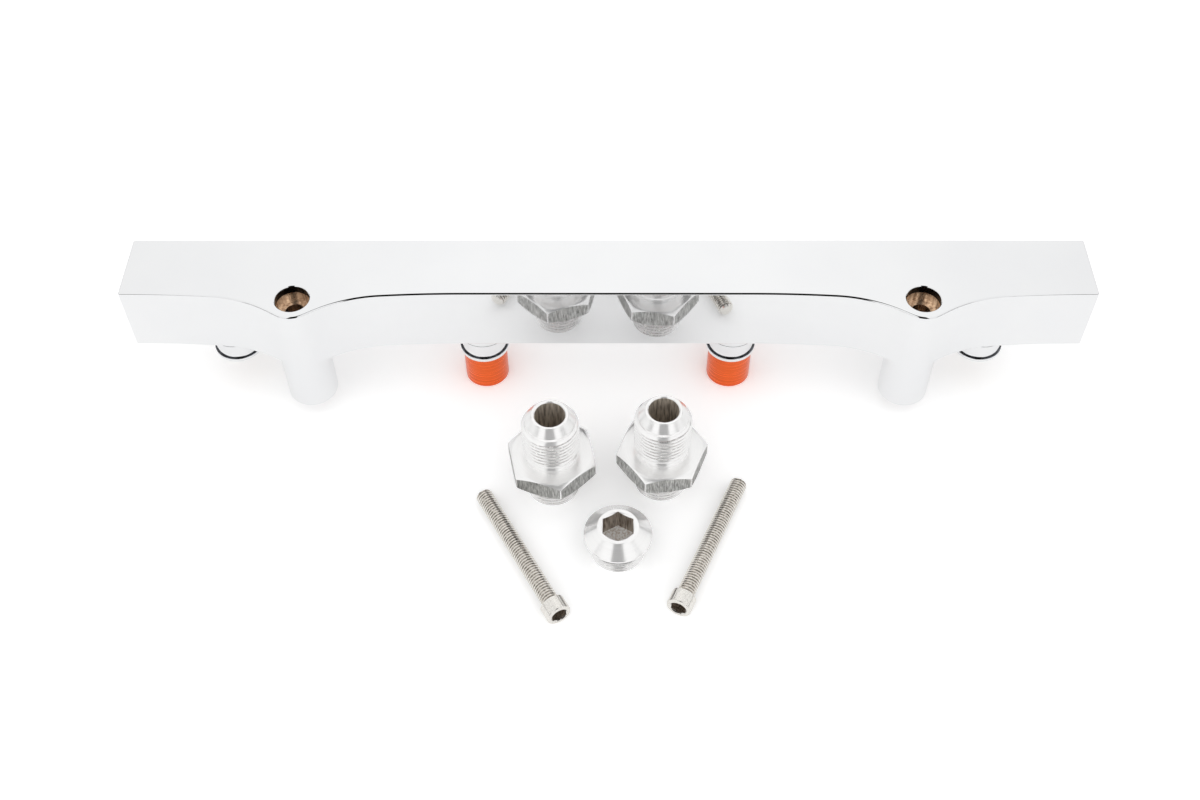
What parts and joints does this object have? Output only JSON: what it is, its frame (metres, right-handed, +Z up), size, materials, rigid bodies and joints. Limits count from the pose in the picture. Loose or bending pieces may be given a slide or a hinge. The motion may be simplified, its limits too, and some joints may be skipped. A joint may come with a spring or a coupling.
{
  "type": "fuel rail",
  "caption": "Milled square-bar fuel rail with bell-shaped screw bosses, round legs, injector cups and adapter sleeves, with its loose end fittings, port plug and mounting screws beside it.",
  "frame": {"origin": "midway between the two mounting holes, on the seat face under the legs", "axes": "+X along the rail to the right port, +Y from the screw bosses to the back of the bar, +Z up from the legs' seat to the bar's top face"},
  "size_m": [0.326, 0.1202, 0.0543],
  "materials": {
    "chromed_rail": "bright plated",
    "anodised_sleeve": "orange anodised",
    "machined_fitting": "fine turned",
    "screw_steel": "rolled stainless",
    "seal_rubber": "satin black"
  },
  "bodies": {
    "root": {"rail_body": "chromed_rail", "injector_sleeve_left": "anodised_sleeve", "injector_sleeve_right": "anodised_sleeve", "sleeve_o_ring_left": "seal_rubber", "sleeve_o_ring_right": "seal_rubber", "end_fitting_left": "machined_fitting", "end_fitting_right": "machined_fitting", "fitting_o_ring_left": "seal_rubber", "fitting_o_ring_right": "seal_rubber", "port_plug": "machined_fitting", "plug_o_ring": "seal_rubber", "mounting_screw_left": "screw_steel", "mounting_screw_right": "screw_steel"}
  },
  "joints": []
}
